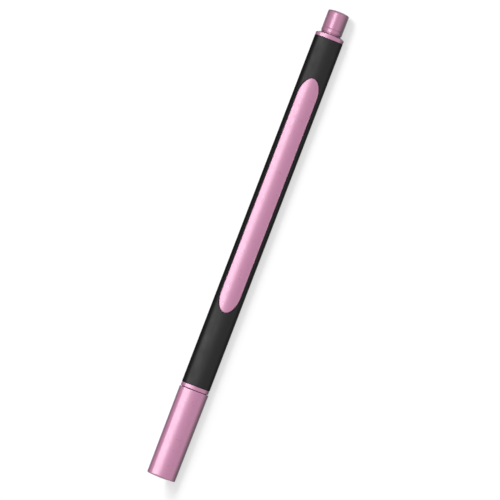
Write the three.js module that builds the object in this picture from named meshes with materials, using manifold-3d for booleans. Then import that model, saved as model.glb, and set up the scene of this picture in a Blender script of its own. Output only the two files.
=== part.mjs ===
// Capped paint marker with a rounded-triangle barrel, lying on one of its three faces.
// Millimetres, +Z up. The pen runs along X with its cap towards -X and its plug towards +X.
// Every length along the pen is counted from the closed end of the cap.

import * as THREE from 'three';
import { mergeVertices } from 'three/addons/utils/BufferGeometryUtils.js';
import Module from 'manifold-3d';

// Driving dimensions: lengths along the pen, from the cap to the plug
const CAP_LENGTH = 28.99;
const CAP_SEAM = 0.16;
const FRONT_RING_LENGTH = 1.2;
const SLEEVE_LENGTH = 114.75;
const REAR_BAND_LENGTH = 0.9;
const REAR_CHAMFER_LENGTH = 0.68;
const PLUG_NECK_LENGTH = 0.45;
const PLUG_STUB_LENGTH = 7.12;

// Driving dimensions: the barrel's rounded-triangle section
const BARREL_HALF_WIDTH = 4.58;
const FACE_RADIUS = 9.67;
const CORNER_RADIUS = 2.29;
const REAR_STEP = 0.07;
const CAP_MOUTH_FLARE = 0.17;
const FRONT_RING_SINK = 0.05;

// Driving dimensions: walls and clearances
const SLEEVE_THICKNESS = 0.55;
const CORE_WALL = 0.6;
const CAP_WALL = 0.5;
const CAP_END_WALL = 1.3;
const CAP_CLEARANCE = 0.08;
const FIXED_GAP = 0.05;
const RUNNING_GAP = 0.06;
const SOFT_GAP = 0.1;
const EDGE_BEVEL = 0.1;

// Driving dimensions: the long oval window in the sleeve
const WINDOW_SETBACK = 24.5;
const WINDOW_LENGTH = 77.05;
const WINDOW_HALF_WIDTH = 3.18;
const WINDOW_END_LENGTH = 5.9;
const WINDOW_PROUD = 0.12;
const WINDOW_GAP = 0.1;

// Driving dimensions: cap end, plug and their small edges
const CAP_END_FILLET = 0.3;
const CAP_END_DOME = 0.35;
const PLUG_SPIGOT_LENGTH = 8;
const PLUG_HOLLOW_LENGTH = 11;
const PLUG_WALL = 0.75;
const PLUG_NECK_DEPTH = 0.2;
const PLUG_GROOVE_SETBACK = 1.2;
const PLUG_GROOVE_WIDTH = 0.16;
const PLUG_GROOVE_DEPTH = 0.08;
const PLUG_END_FILLET = 0.45;
const PLUG_END_DOME = 0.4;
const SEAL_WIDTH = 1.1;
const SEAL_DEPTH = 0.4;
const SEAL_SETBACK = 2.2;

// Driving dimensions: nose section and its tip
const NOSE_LENGTH = 20.4;
const NOSE_SPIGOT_LENGTH = 6;
const NOSE_WALL = 0.6;
const SEAT_LENGTH = 10;
const SEAT_STEP = 0.5;
const SEAT_GROOVE_DEPTH = 0.15;
const SEAT_GROOVE_WIDTH = 0.8;
const SEAT_GROOVE_SETBACK = 2.4;
const LAND_RADIUS = 2.2;
const LAND_SETBACK = 4.6;
const LAND_LENGTH = 2.2;
const NOSE_RIM = 0.5;
const TIP_RADIUS = 1;
const TIP_PROTRUSION = 4.2;
const TIP_TAPER_LENGTH = 1.5;
const TIP_POINT_RADIUS = 0.45;
const CARRIER_WALL = 0.45;
const CARRIER_LENGTH = 3.4;
const CARRIER_FLOOR = 0.7;
const CARRIER_SLOT_WIDTH = 0.6;
const SPONGE_THICKNESS = 0.59;
const SPONGE_LENGTH = 4.4;
const SPONGE_ROOM = 0.6;

// Driving dimensions: valve behind the tip
const PRESS_TRAVEL = 1.2;
const VALVE_SHELF_SETBACK = 5.15;
const GASKET_THICKNESS = 1;
const STEM_RADIUS = 0.6;
const STEM_HEAD_THICKNESS = 1.1;
const STEM_HEAD_GAP = 0.2;
const FLOW_GAP = 0.15;
const CAGE_LENGTH = 15;
const CAGE_WALL = 0.5;
const CAGE_FLOOR = 1;
const CAGE_SLOT_LENGTH = 3;
const CAGE_SLOT_WIDTH = 1.2;
const SPRING_WIRE_RADIUS = 0.18;
const SPRING_CURLS = 10;

// Driving dimensions: lining of the cap and mixing balls
const LINER_LIP_SETBACK = 0.8;
const LINER_FLOOR = 1;
const LINER_LIP_LENGTH = 1.3;
const LINER_RELIEF = 0.25;
const BALL_RADIUS = 2;
const BALL_END_GAP = 0.3;

// Counts of facets, with an odd number on a face so that its middle is flat
const FACES = 3;
const FACE_FACETS = 5;
const CORNER_FACETS = 6;
const SIDES = FACES * (FACE_FACETS + CORNER_FACETS);
const FILLET_STEPS = 3;
const OVAL_END_STEPS = 14;
const CURL_STEPS = 8;
const WIRE_SIDES = 5;
const BALL_SEGMENTS = 18;
const BALL_RINGS = 12;
const SLOTS = 3;

// Places along the pen
const capMouth = CAP_LENGTH;
const coreFront = capMouth + CAP_SEAM;
const sleeveFront = coreFront + FRONT_RING_LENGTH;
const sleeveRear = sleeveFront + SLEEVE_LENGTH;
const bandEnd = sleeveRear + REAR_BAND_LENGTH;
const coreRear = bandEnd + REAR_CHAMFER_LENGTH;
const stubFront = coreRear + PLUG_NECK_LENGTH;
const plugEnd = stubFront + PLUG_STUB_LENGTH;
const plugSpigotFront = coreRear - PLUG_SPIGOT_LENGTH;
const windowFront = sleeveFront + WINDOW_SETBACK;
const windowMiddle = windowFront + WINDOW_LENGTH / 2;
const noseFront = coreFront - NOSE_LENGTH;
const seatFront = coreFront - SEAT_LENGTH;
const noseSpigotRear = coreFront + NOSE_SPIGOT_LENGTH;
const landFront = noseFront + LAND_SETBACK;
const tipEnd = noseFront - TIP_PROTRUSION;
const valveShelf = coreFront - VALVE_SHELF_SETBACK;
const gasketFront = valveShelf + FIXED_GAP;
const gasketRear = gasketFront + GASKET_THICKNESS;
const cageFront = gasketRear + FIXED_GAP;
const cageRear = cageFront + CAGE_LENGTH;
const headFront = gasketRear + FIXED_GAP;
const headRear = headFront + STEM_HEAD_THICKNESS;
const carrierRear = valveShelf - PRESS_TRAVEL - SOFT_GAP;
const carrierFront = carrierRear - CARRIER_LENGTH;
const tipRear = carrierRear - CARRIER_FLOOR - FIXED_GAP;
const spongeRear = carrierFront - SPONGE_ROOM;
const spongeFront = spongeRear - SPONGE_LENGTH;
const cavityFront = spongeFront - SOFT_GAP;
const stemRear = cageRear - CAGE_FLOOR / 2;
const chamberFront = cageRear + PRESS_TRAVEL;
const linerFront = CAP_END_WALL + FIXED_GAP;
const linerRear = landFront + LAND_LENGTH - LINER_LIP_SETBACK;

// The section's face arcs and corner arcs meet at this angle from a face's middle
const faceHalfSpan = Math.asin((BARREL_HALF_WIDTH - CORNER_RADIUS) / (FACE_RADIUS - CORNER_RADIUS));
const THIRD_TURN = (2 * Math.PI) / FACES;
const cornerCentre = (BARREL_HALF_WIDTH - CORNER_RADIUS) / Math.sin(THIRD_TURN / 2);
const apothem = FACE_RADIUS - (FACE_RADIUS - CORNER_RADIUS) * Math.cos(faceHalfSpan)
  + cornerCentre * Math.cos(THIRD_TURN / 2);

// Radii that follow from the section, the walls and the clearances
const coreOffset = -(SLEEVE_THICKNESS + FIXED_GAP);
const boreRadius = apothem + coreOffset - CORE_WALL;
const spigotRadius = boreRadius - FIXED_GAP;
const capBoreRadius = apothem - CAP_WALL;
const seatRadius = capBoreRadius - CAP_CLEARANCE;
const cornerReach = cornerCentre + CORNER_RADIUS;
const collarEndRadius = seatRadius + REAR_STEP;
const valveBoreRadius = spigotRadius - NOSE_WALL;
const cageRadius = valveBoreRadius - FIXED_GAP;
const cageBoreRadius = cageRadius - CAGE_WALL;
const headRadius = cageBoreRadius - STEM_HEAD_GAP;
const stemHoleRadius = STEM_RADIUS + FLOW_GAP;
const springRadius = (STEM_RADIUS + cageBoreRadius) / 2;
const tipBoreRadius = TIP_RADIUS + RUNNING_GAP;
const carrierBoreRadius = TIP_RADIUS + FIXED_GAP;
const carrierRadius = carrierBoreRadius + CARRIER_WALL;
const spongeRadius = tipBoreRadius + SPONGE_THICKNESS;
const cavityRadius = Math.max(spongeRadius + FIXED_GAP, carrierRadius + RUNNING_GAP);
const linerRadius = capBoreRadius - FIXED_GAP;
const linerLipRadius = LAND_RADIUS + CAP_CLEARANCE;
const sealRadius = spigotRadius - SEAL_DEPTH;

const wasm = await Module();
wasm.setup();

// A point at a distance along the pen, and an angle and radius round it from the window's face
function polar(s, angle, radius) {
  return new THREE.Vector3(s, -radius * Math.sin(angle), radius * Math.cos(angle));
}

// Ring of a single point on the pen's axis
function pole(s) {
  return [polar(s, 0, 0)];
}

// Round ring, with a facet under the middle of each of the barrel's faces
function round(s, radius) {
  return Array.from({ length: SIDES }, (_, i) => polar(s, ((i + 0.5) * 2 * Math.PI) / SIDES, radius));
}

// Rounded-triangle ring, moved outwards everywhere by the same offset
function faced(s, offset) {
  const facet = (2 * faceHalfSpan) / FACE_FACETS;
  const bend = (THIRD_TURN - 2 * faceHalfSpan) / CORNER_FACETS;
  const ring = [];
  for (let face = 0; face < FACES; face += 1) {
    const middle = face * THIRD_TURN;
    const next = middle + THIRD_TURN;
    const onFace = (centre, angle) => polar(s, angle, FACE_RADIUS + offset)
      .add(polar(0, centre, apothem - FACE_RADIUS));
    for (let step = 0.5; step <= FACE_FACETS / 2; step += 1) {
      ring.push(onFace(middle, middle + step * facet));
    }
    for (let step = 1; step < CORNER_FACETS; step += 1) {
      ring.push(polar(s, middle + faceHalfSpan + step * bend, CORNER_RADIUS + offset)
        .add(polar(0, middle + THIRD_TURN / 2, cornerCentre)));
    }
    for (let step = FACE_FACETS / 2; step > 0; step -= 1) {
      ring.push(onFace(next, next - step * facet));
    }
  }
  return ring;
}

// Edge along which a cone cuts the rounded triangle: it meets the corners at s, and the nearer faces later
function coneEdge(s, slope) {
  return faced(s, 0).map((point) => (
    point.setX(s + (cornerReach - Math.hypot(point.y, point.z)) / slope)
  ));
}

// Surface through a list of rings, which runs backwards on the inside of a wall
function skin(rings, looped) {
  const positions = [];
  const starts = rings.map((ring) => {
    const start = positions.length / 3;
    ring.forEach((point) => positions.push(point.x, point.y, point.z));
    return start;
  });
  const corner = (k, i) => starts[k] + (rings[k].length > 1 ? i % rings[k].length : 0);
  const index = [];
  const last = looped ? rings.length : rings.length - 1;
  for (let k = 0; k < last; k += 1) {
    const next = (k + 1) % rings.length;
    for (let i = 0; i < Math.max(rings[k].length, rings[next].length); i += 1) {
      if (rings[k].length > 1) index.push(corner(k, i), corner(k, i + 1), corner(next, i + 1));
      if (rings[next].length > 1) index.push(corner(k, i), corner(next, i + 1), corner(next, i));
    }
  }
  const geometry = new THREE.BufferGeometry();
  geometry.setAttribute('position', new THREE.Float32BufferAttribute(positions, 3));
  geometry.setIndex(index);
  return geometry;
}

// Tube-like piece, whose outline goes back along the inside, and piece that is closed on the axis
const hollow = (...rings) => skin(rings, true);
const closed = (...rings) => skin(rings, false);

// Quarter-round edge as steps of (sine, one minus cosine)
function quarter() {
  return Array.from({ length: FILLET_STEPS + 1 }, (_, k) => {
    const angle = (k / FILLET_STEPS) * (Math.PI / 2);
    return { across: Math.sin(angle), along: 1 - Math.cos(angle) };
  });
}

// A geometry as a boolean solid, and back
function solidOf(geometry) {
  const bare = geometry.clone();
  bare.deleteAttribute('normal');
  bare.deleteAttribute('uv');
  const merged = mergeVertices(bare, 1e-5);
  return new wasm.Manifold(new wasm.Mesh({
    numProp: 3,
    vertProperties: new Float32Array(merged.attributes.position.array),
    triVerts: new Uint32Array(merged.index.array),
  }));
}

function geometryOf(solid) {
  const mesh = solid.getMesh();
  const geometry = new THREE.BufferGeometry();
  geometry.setAttribute('position', new THREE.BufferAttribute(mesh.vertProperties, 3));
  geometry.setIndex(new THREE.BufferAttribute(mesh.triVerts, 1));
  return geometry;
}

// Upright prism over the window: straight sides and half-elliptical ends, grown by a margin
function windowPrism(margin) {
  const across = WINDOW_HALF_WIDTH + margin;
  const endLength = WINDOW_END_LENGTH + margin;
  const straight = WINDOW_LENGTH / 2 - WINDOW_END_LENGTH;
  const shape = new THREE.Shape();
  shape.moveTo(straight, -across);
  shape.absellipse(straight, 0, endLength, across, -Math.PI / 2, Math.PI / 2);
  shape.lineTo(-straight, across);
  shape.absellipse(-straight, 0, endLength, across, Math.PI / 2, (3 * Math.PI) / 2);
  const prism = new THREE.ExtrudeGeometry(shape, {
    depth: BARREL_HALF_WIDTH * 2,
    steps: 1,
    curveSegments: OVAL_END_STEPS,
    bevelEnabled: false,
  });
  return solidOf(prism.translate(windowMiddle, 0, 0));
}

// Slots through a wall, evenly round the axis
function cutSlots(geometry, front, length, width, reach) {
  let solid = solidOf(geometry);
  for (let slot = 0; slot < SLOTS; slot += 1) {
    const box = new THREE.BoxGeometry(length, width, reach);
    box.translate(front + length / 2, 0, reach / 2).rotateX((slot * 2 * Math.PI) / SLOTS);
    solid = solid.subtract(solidOf(box));
  }
  return geometryOf(solid);
}

// Cap: rounded triangle outside with a rounded closed end, round bore inside
function capShell() {
  const end = quarter().map(({ across, along }) => (
    faced(CAP_END_DOME + CAP_END_FILLET * along, -CAP_END_FILLET * (1 - across))
  ));
  return closed(
    pole(0),
    round(CAP_END_DOME / 4, apothem / 2),
    ...end,
    faced(capMouth - EDGE_BEVEL, CAP_MOUTH_FLARE),
    faced(capMouth, CAP_MOUTH_FLARE - EDGE_BEVEL),
    round(capMouth, capBoreRadius + EDGE_BEVEL),
    round(capMouth - EDGE_BEVEL, capBoreRadius),
    round(CAP_END_WALL, capBoreRadius),
    pole(CAP_END_WALL),
  );
}

// Lining cup in the cap, whose lip closes round the nose and keeps the tip wet
function capLiner() {
  const inside = linerLipRadius + LINER_RELIEF;
  return closed(
    pole(linerFront),
    round(linerFront, linerRadius - EDGE_BEVEL),
    round(linerFront + EDGE_BEVEL, linerRadius),
    round(linerRear, linerRadius),
    round(linerRear, linerLipRadius + EDGE_BEVEL),
    round(linerRear - EDGE_BEVEL, linerLipRadius),
    round(linerRear - LINER_LIP_LENGTH, linerLipRadius),
    round(linerRear - LINER_LIP_LENGTH - LINER_RELIEF, inside),
    round(linerFront + LINER_FLOOR, inside),
    pole(linerFront + LINER_FLOOR),
  );
}

// Barrel core: front ring, recess for the sleeve, rear collar that ends in a cone, and a round bore
function coreTube() {
  const slope = (cornerReach - collarEndRadius) / REAR_CHAMFER_LENGTH;
  return hollow(
    faced(coreFront, -FRONT_RING_SINK - EDGE_BEVEL),
    faced(coreFront + EDGE_BEVEL, -FRONT_RING_SINK),
    faced(sleeveFront, -FRONT_RING_SINK),
    faced(sleeveFront, coreOffset),
    faced(sleeveRear, coreOffset),
    faced(sleeveRear, 0),
    coneEdge(bandEnd, slope),
    round(coreRear, collarEndRadius),
    round(coreRear, boreRadius),
    round(coreFront, boreRadius),
  );
}

// The core's long oval field, which stands up through the sleeve's window
function barrelCore() {
  const root = coreOffset - CORE_WALL / 2;
  const front = windowFront - EDGE_BEVEL;
  const rear = windowFront + WINDOW_LENGTH + EDGE_BEVEL;
  const field = hollow(
    faced(front, WINDOW_PROUD),
    faced(rear, WINDOW_PROUD),
    faced(rear, root),
    faced(front, root),
  );
  return geometryOf(solidOf(coreTube()).add(solidOf(field).intersect(windowPrism(0))));
}

// Soft sleeve between the front ring and the rear collar, cut through at the window
function softSleeve() {
  const front = sleeveFront + FIXED_GAP;
  const rear = sleeveRear - FIXED_GAP;
  const tube = hollow(
    faced(front, -EDGE_BEVEL),
    faced(front + EDGE_BEVEL, 0),
    faced(rear - EDGE_BEVEL, 0),
    faced(rear, -EDGE_BEVEL),
    faced(rear, -SLEEVE_THICKNESS),
    faced(front, -SLEEVE_THICKNESS),
  );
  return geometryOf(solidOf(tube).subtract(windowPrism(WINDOW_GAP)));
}

// Square groove of a sealing ring on a spigot, listed from its front
function sealGroove(front, radius) {
  return [
    round(front, radius),
    round(front, sealRadius),
    round(front + SEAL_WIDTH, sealRadius),
    round(front + SEAL_WIDTH, radius),
  ];
}

// Sealing ring that fills its groove and reaches the bore
function sealRing(front) {
  const rear = front + SEAL_WIDTH - FIXED_GAP;
  return hollow(
    round(front + FIXED_GAP, boreRadius - FIXED_GAP / 2 - EDGE_BEVEL),
    round(front + FIXED_GAP + EDGE_BEVEL, boreRadius - FIXED_GAP / 2),
    round(rear - EDGE_BEVEL, boreRadius - FIXED_GAP / 2),
    round(rear, boreRadius - FIXED_GAP / 2 - EDGE_BEVEL),
    round(rear, sealRadius + FIXED_GAP),
    round(front + FIXED_GAP, sealRadius + FIXED_GAP),
  );
}

const plugSealFront = plugSpigotFront + SEAL_SETBACK;
const noseSealFront = noseSpigotRear - SEAL_SETBACK - SEAL_WIDTH;

// End plug: spigot in the bore, dark neck, and the round stub that the cap can be pushed on
function endPlug() {
  const hollowRadius = spigotRadius - PLUG_WALL;
  const groove = stubFront + PLUG_GROOVE_SETBACK;
  const edge = plugEnd - PLUG_END_DOME;
  const end = quarter().reverse().map(({ across, along }) => (
    round(edge - PLUG_END_FILLET * along, seatRadius - PLUG_END_FILLET * (1 - across))
  ));
  return closed(
    pole(plugSpigotFront + PLUG_HOLLOW_LENGTH),
    round(plugSpigotFront + PLUG_HOLLOW_LENGTH, hollowRadius),
    round(plugSpigotFront, hollowRadius),
    round(plugSpigotFront, spigotRadius - EDGE_BEVEL),
    round(plugSpigotFront + EDGE_BEVEL, spigotRadius),
    ...sealGroove(plugSealFront, spigotRadius),
    round(coreRear + FIXED_GAP, spigotRadius),
    round(coreRear + FIXED_GAP, seatRadius - PLUG_NECK_DEPTH),
    round(stubFront, seatRadius - PLUG_NECK_DEPTH),
    round(stubFront, seatRadius - EDGE_BEVEL),
    round(stubFront + EDGE_BEVEL, seatRadius),
    round(groove - PLUG_GROOVE_WIDTH / 2, seatRadius),
    round(groove, seatRadius - PLUG_GROOVE_DEPTH),
    round(groove + PLUG_GROOVE_WIDTH / 2, seatRadius),
    ...end,
    round(plugEnd - PLUG_END_DOME / 4, seatRadius / 2),
    pole(plugEnd),
  );
}

// Nose section: hole for the tip, cone, land for the lining's lip, cap seat and spigot
function noseSection() {
  const shoulderRadius = seatRadius - SEAT_STEP;
  const grooveRear = coreFront - SEAT_GROOVE_SETBACK;
  const grooveFront = grooveRear - SEAT_GROOVE_WIDTH;
  const grooveRadius = seatRadius - SEAT_GROOVE_DEPTH;
  const mouthRadius = tipBoreRadius + NOSE_RIM;
  return hollow(
    round(noseFront, mouthRadius - EDGE_BEVEL),
    round(noseFront + EDGE_BEVEL, mouthRadius),
    round(landFront, LAND_RADIUS),
    round(landFront + LAND_LENGTH, LAND_RADIUS),
    round(seatFront, shoulderRadius),
    round(seatFront + SEAT_STEP, seatRadius),
    round(grooveFront, seatRadius),
    round(grooveFront + SEAT_GROOVE_DEPTH, grooveRadius),
    round(grooveRear - SEAT_GROOVE_DEPTH, grooveRadius),
    round(grooveRear, seatRadius),
    round(coreFront - FIXED_GAP, seatRadius),
    round(coreFront - FIXED_GAP, spigotRadius),
    ...sealGroove(noseSealFront, spigotRadius),
    round(noseSpigotRear - EDGE_BEVEL, spigotRadius),
    round(noseSpigotRear, spigotRadius - EDGE_BEVEL),
    round(noseSpigotRear, valveBoreRadius),
    round(valveShelf, valveBoreRadius),
    round(valveShelf, cavityRadius),
    round(cavityFront, cavityRadius),
    round(cavityFront, tipBoreRadius),
    round(noseFront, tipBoreRadius),
  );
}

// Fibre tip: a rod with a tapered, rounded writing end
function writingTip() {
  const point = quarter().slice(1).map(({ across, along }) => (
    round(tipEnd + TIP_POINT_RADIUS * along, TIP_POINT_RADIUS * across)
  ));
  return closed(
    pole(tipEnd),
    ...point,
    round(tipEnd + TIP_TAPER_LENGTH, TIP_RADIUS),
    round(tipRear - EDGE_BEVEL, TIP_RADIUS),
    round(tipRear, TIP_RADIUS - EDGE_BEVEL),
    pole(tipRear),
  );
}

// Cup that holds the tip's rear end and pushes the valve stem, slotted for the paint
function tipCarrier() {
  const cup = closed(
    pole(carrierRear - CARRIER_FLOOR),
    round(carrierRear - CARRIER_FLOOR, carrierBoreRadius),
    round(carrierFront, carrierBoreRadius),
    round(carrierFront, carrierRadius - EDGE_BEVEL),
    round(carrierFront + EDGE_BEVEL, carrierRadius),
    round(carrierRear - EDGE_BEVEL, carrierRadius),
    round(carrierRear, carrierRadius - EDGE_BEVEL),
    pole(carrierRear),
  );
  const slotLength = CARRIER_LENGTH / 2 - CARRIER_FLOOR / 2;
  return cutSlots(cup, carrierFront + slotLength, slotLength, CARRIER_SLOT_WIDTH, carrierRadius * 2);
}

// Plain ring between two radii
function plainRing(front, rear, inner, outer) {
  return hollow(round(front, outer), round(rear, outer), round(rear, inner), round(front, inner));
}

// Valve cage: cup that opens on the gasket, with paint slots behind the nose's spigot
function valveCage() {
  const floor = cageRear - CAGE_FLOOR;
  const cup = hollow(
    round(cageFront, cageRadius),
    round(cageRear - EDGE_BEVEL, cageRadius),
    round(cageRear, cageRadius - EDGE_BEVEL),
    round(cageRear, stemHoleRadius),
    round(floor, stemHoleRadius),
    round(floor, cageBoreRadius),
    round(cageFront, cageBoreRadius),
  );
  return cutSlots(cup, floor - CAGE_SLOT_LENGTH, CAGE_SLOT_LENGTH, CAGE_SLOT_WIDTH, cageRadius * 2);
}

// Valve stem: front pin through the gasket, sealing head, and rear pin in the cage's floor
function valveStem() {
  return closed(
    pole(carrierRear + FIXED_GAP),
    round(carrierRear + FIXED_GAP, STEM_RADIUS),
    round(headFront, STEM_RADIUS),
    round(headFront, headRadius - EDGE_BEVEL),
    round(headFront + EDGE_BEVEL, headRadius),
    round(headRear, headRadius),
    round(headRear, STEM_RADIUS),
    round(stemRear - EDGE_BEVEL, STEM_RADIUS),
    round(stemRear, STEM_RADIUS - EDGE_BEVEL),
    pole(stemRear),
  );
}

// Valve spring: one wire on a helix, from the stem's head to the cage's floor
function valveSpring() {
  const start = headRear + FIXED_GAP + SPRING_WIRE_RADIUS;
  const end = cageRear - CAGE_FLOOR - FIXED_GAP - SPRING_WIRE_RADIUS;
  const steps = SPRING_CURLS * CURL_STEPS;
  const rise = (end - start) / (2 * Math.PI * SPRING_CURLS);
  const centres = [];
  const rings = [];
  for (let step = 0; step <= steps; step += 1) {
    const angle = (step / CURL_STEPS) * 2 * Math.PI;
    const centre = polar(start + rise * angle, angle, springRadius);
    const outward = polar(0, angle, 1);
    const along = polar(0, angle + Math.PI / 2, springRadius).setX(rise).normalize();
    const side = new THREE.Vector3().crossVectors(along, outward);
    centres.push(centre);
    rings.push(Array.from({ length: WIRE_SIDES }, (_, k) => {
      const turn = (k * 2 * Math.PI) / WIRE_SIDES;
      return centre.clone()
        .addScaledVector(outward, SPRING_WIRE_RADIUS * Math.cos(turn))
        .addScaledVector(side, SPRING_WIRE_RADIUS * Math.sin(turn));
    }));
  }
  const gaps = centres.flatMap((centre, k) => (
    centres.slice(k + CURL_STEPS / 2).map((other) => centre.distanceTo(other) - 2 * SPRING_WIRE_RADIUS)
  ));
  console.log(`valve_spring: least gap to itself ${Math.min(...gaps).toFixed(2)} mm`);
  return closed([centres[0]], ...rings, [centres[steps]]);
}

// Mixing ball, with its poles on the pen's axis direction
function mixingBall() {
  const ball = new THREE.SphereGeometry(BALL_RADIUS, BALL_SEGMENTS, BALL_RINGS);
  return geometryOf(solidOf(ball.rotateZ(Math.PI / 2)));
}

// Finishes, as colour, roughness and metalness
const FINISHES = {
  pinkMetallic: ['#d094b6', 0.34, 0.7],
  softBlack: ['#2c2c2e', 0.72, 0],
  darkPlastic: ['#3a383b', 0.45, 0],
  naturalPlastic: ['#e6e2da', 0.5, 0],
  blackRubber: ['#1c1c1d', 0.85, 0],
  wovenFibre: ['#efd9e4', 0.9, 0],
  paleSponge: ['#e9e0c8', 0.95, 0],
  springSteel: ['#b9bcc0', 0.3, 1],
  ballSteel: ['#c9ccd0', 0.18, 1],
};

function piece(name, geometry, finish) {
  const [color, roughness, metalness] = FINISHES[finish];
  const flat = geometry.toNonIndexed();
  flat.computeVertexNormals();
  const mesh = new THREE.Mesh(flat, new THREE.MeshStandardMaterial({ color, roughness, metalness }));
  mesh.name = name;
  return mesh;
}

// Pieces about the pen's own axis, with the window's face up
const pen = new THREE.Group();
pen.add(
  piece('cap_shell', capShell(), 'pinkMetallic'),
  piece('cap_liner', capLiner(), 'naturalPlastic'),
  piece('barrel_core', barrelCore(), 'pinkMetallic'),
  piece('soft_sleeve', softSleeve(), 'softBlack'),
  piece('end_plug', endPlug(), 'pinkMetallic'),
  piece('plug_seal_ring', sealRing(plugSealFront), 'blackRubber'),
  piece('nose_section', noseSection(), 'darkPlastic'),
  piece('nose_seal_ring', sealRing(noseSealFront), 'blackRubber'),
  piece('feed_sponge', plainRing(spongeFront, spongeRear, tipBoreRadius, spongeRadius), 'paleSponge'),
  piece('writing_tip', writingTip(), 'wovenFibre'),
  piece('tip_carrier', tipCarrier(), 'naturalPlastic'),
  piece('valve_gasket', plainRing(gasketFront, gasketRear, stemHoleRadius, cageRadius), 'blackRubber'),
  piece('valve_cage', valveCage(), 'naturalPlastic'),
  piece('valve_stem', valveStem(), 'naturalPlastic'),
  piece('valve_spring', valveSpring(), 'springSteel'),
);

// The window's face looks up and forwards, so that another face lies flat on the floor
const WINDOW_TURN = THIRD_TURN / 2;
pen.rotation.x = WINDOW_TURN;

// Mixing balls on the bottom of the bore, one at each end of the paint chamber
const flatShare = Math.cos(Math.PI / SIDES);
const ballDrop = boreRadius * flatShare - BALL_RADIUS - FIXED_GAP;
const ballPlaces = {
  mixing_ball_front: chamberFront + BALL_END_GAP + BALL_RADIUS,
  mixing_ball_rear: plugSpigotFront - BALL_END_GAP - BALL_RADIUS,
};
const balls = Object.entries(ballPlaces).map(([name, s]) => {
  const ball = piece(name, mixingBall(), 'ballSteel');
  ball.position.set(s, 0, -ballDrop);
  return ball;
});

// Height of the axis over the floor: the cap's mouth is the lowest part of the lying pen
const facetShare = Math.cos(faceHalfSpan / FACE_FACETS);
const axisHeight = (FACE_RADIUS + CAP_MOUTH_FLARE) * facetShare - (FACE_RADIUS - apothem);

const group = new THREE.Group();
group.add(pen, ...balls);
group.position.set(-plugEnd / 2, 0, axisHeight);

export default group;
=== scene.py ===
"""Capped metallic paint marker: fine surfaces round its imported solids, lit as in the photograph."""

import logging
import math
from dataclasses import dataclass
from enum import Enum
from typing import Sequence

import bmesh
import bpy
import numpy as np
from mathutils import Matrix, Vector


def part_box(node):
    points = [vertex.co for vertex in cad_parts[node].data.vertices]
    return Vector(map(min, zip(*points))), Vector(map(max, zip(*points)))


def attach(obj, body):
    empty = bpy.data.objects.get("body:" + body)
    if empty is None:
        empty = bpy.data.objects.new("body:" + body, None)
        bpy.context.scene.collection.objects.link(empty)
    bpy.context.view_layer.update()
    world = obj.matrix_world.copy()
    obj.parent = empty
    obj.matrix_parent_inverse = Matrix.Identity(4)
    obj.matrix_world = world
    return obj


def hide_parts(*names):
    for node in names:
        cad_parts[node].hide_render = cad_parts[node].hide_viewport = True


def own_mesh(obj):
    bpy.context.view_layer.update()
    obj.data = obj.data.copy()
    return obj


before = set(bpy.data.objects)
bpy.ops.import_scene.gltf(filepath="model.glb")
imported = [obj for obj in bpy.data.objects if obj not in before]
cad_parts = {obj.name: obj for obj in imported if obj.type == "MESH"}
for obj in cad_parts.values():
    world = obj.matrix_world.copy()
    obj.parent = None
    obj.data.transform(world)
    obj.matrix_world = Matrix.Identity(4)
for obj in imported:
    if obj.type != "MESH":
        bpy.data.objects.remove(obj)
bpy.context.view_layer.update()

LOG = logging.getLogger("marker")
Socket = bpy.types.NodeSocket
Colour = Sequence[float]

# Metres: a millimetre, how near points are merged, and how short an edge is dropped
MM = 0.001
MERGE = 2e-7
COLLAPSED = 1e-7

# Radians by which a rounding error may take a point past the end of its arc
ROUND_OFF = 1e-9

# A rounded corner: its segments, its largest share of a flat, and its outer rows' distance in its own lengths
CORNER_STEPS = 5
CORNER_SHARE = 0.29
CORNER_SUPPORT = 1.6

# Numbers of the Mix node's colour sockets, which share their names with its other sockets
MIX_FACTOR, MIX_FIRST, MIX_SECOND, MIX_RESULT = 0, 6, 7, 2


class Form(Enum):
    """Shape of one ring of an outline."""

    ROUND = "round"
    FACED = "faced"
    CONE = "cone"


class Edge(float, Enum):
    """Roundings of the small mouldings in mm."""

    HAIR = 0.03
    GROOVE = 0.04
    CRISP = 0.05
    RIM = 0.06
    RING = 0.08
    PLAIN = 0.1
    STEP = 0.12
    SOFT = 0.15
    FULL = 0.2
    RUBBER = 0.25
    DEEP = 0.3
    SHOULDER = 0.5


class Body(Enum):
    """Moving bodies of the marker."""

    BARREL = "barrel"
    CAP = "cap"
    TIP = "tip_unit"
    FRONT_BALL = "front_ball"
    REAR_BALL = "rear_ball"


class Slot(Enum):
    """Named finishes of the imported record."""

    PINK = "pink_metallic"
    SOFT_BLACK = "soft_black"
    DARK_PLASTIC = "dark_plastic"
    NATURAL_PLASTIC = "natural_plastic"
    RUBBER = "black_rubber"
    FIBRE = "tip_fibre"
    SPONGE = "pale_sponge"
    SPRING = "spring_steel"
    BALL = "ball_steel"


@dataclass(frozen=True)
class Station:
    """One ring of an outline.

    s is its distance from the cap's closed end in mm. size is the offset from the barrel's skin on a faced
    ring, the radius of a round one, or the slope of the cone that cuts the skin along the ring. edge is the
    rounding of the outline's corner, and gap how far the ring stays open on each side of the window's middle.
    """

    s: float
    size: float
    edge: float = 0.0
    form: Form = Form.ROUND
    gap: float = 0.0


def faced(s: float, offset: float, edge: float = 0.0) -> Station:
    """A rounded-triangle station."""
    return Station(s, offset, edge, Form.FACED)


def turned(*rings: Sequence[float]) -> list[Station]:
    """Round stations, each given as its place, its radius and, where it has one, its rounding."""
    return [Station(*ring) for ring in rings]


def plain_ring(front: float, rear: float, inner: float, outer: float, outer_edge: float = Edge.RING,
               inner_edge: float = Edge.RING) -> list[Station]:
    """Outline of a ring between two places and two radii."""
    return turned((front, outer, outer_edge), (rear, outer, outer_edge),
                  (rear, inner, inner_edge), (front, inner, inner_edge))


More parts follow.
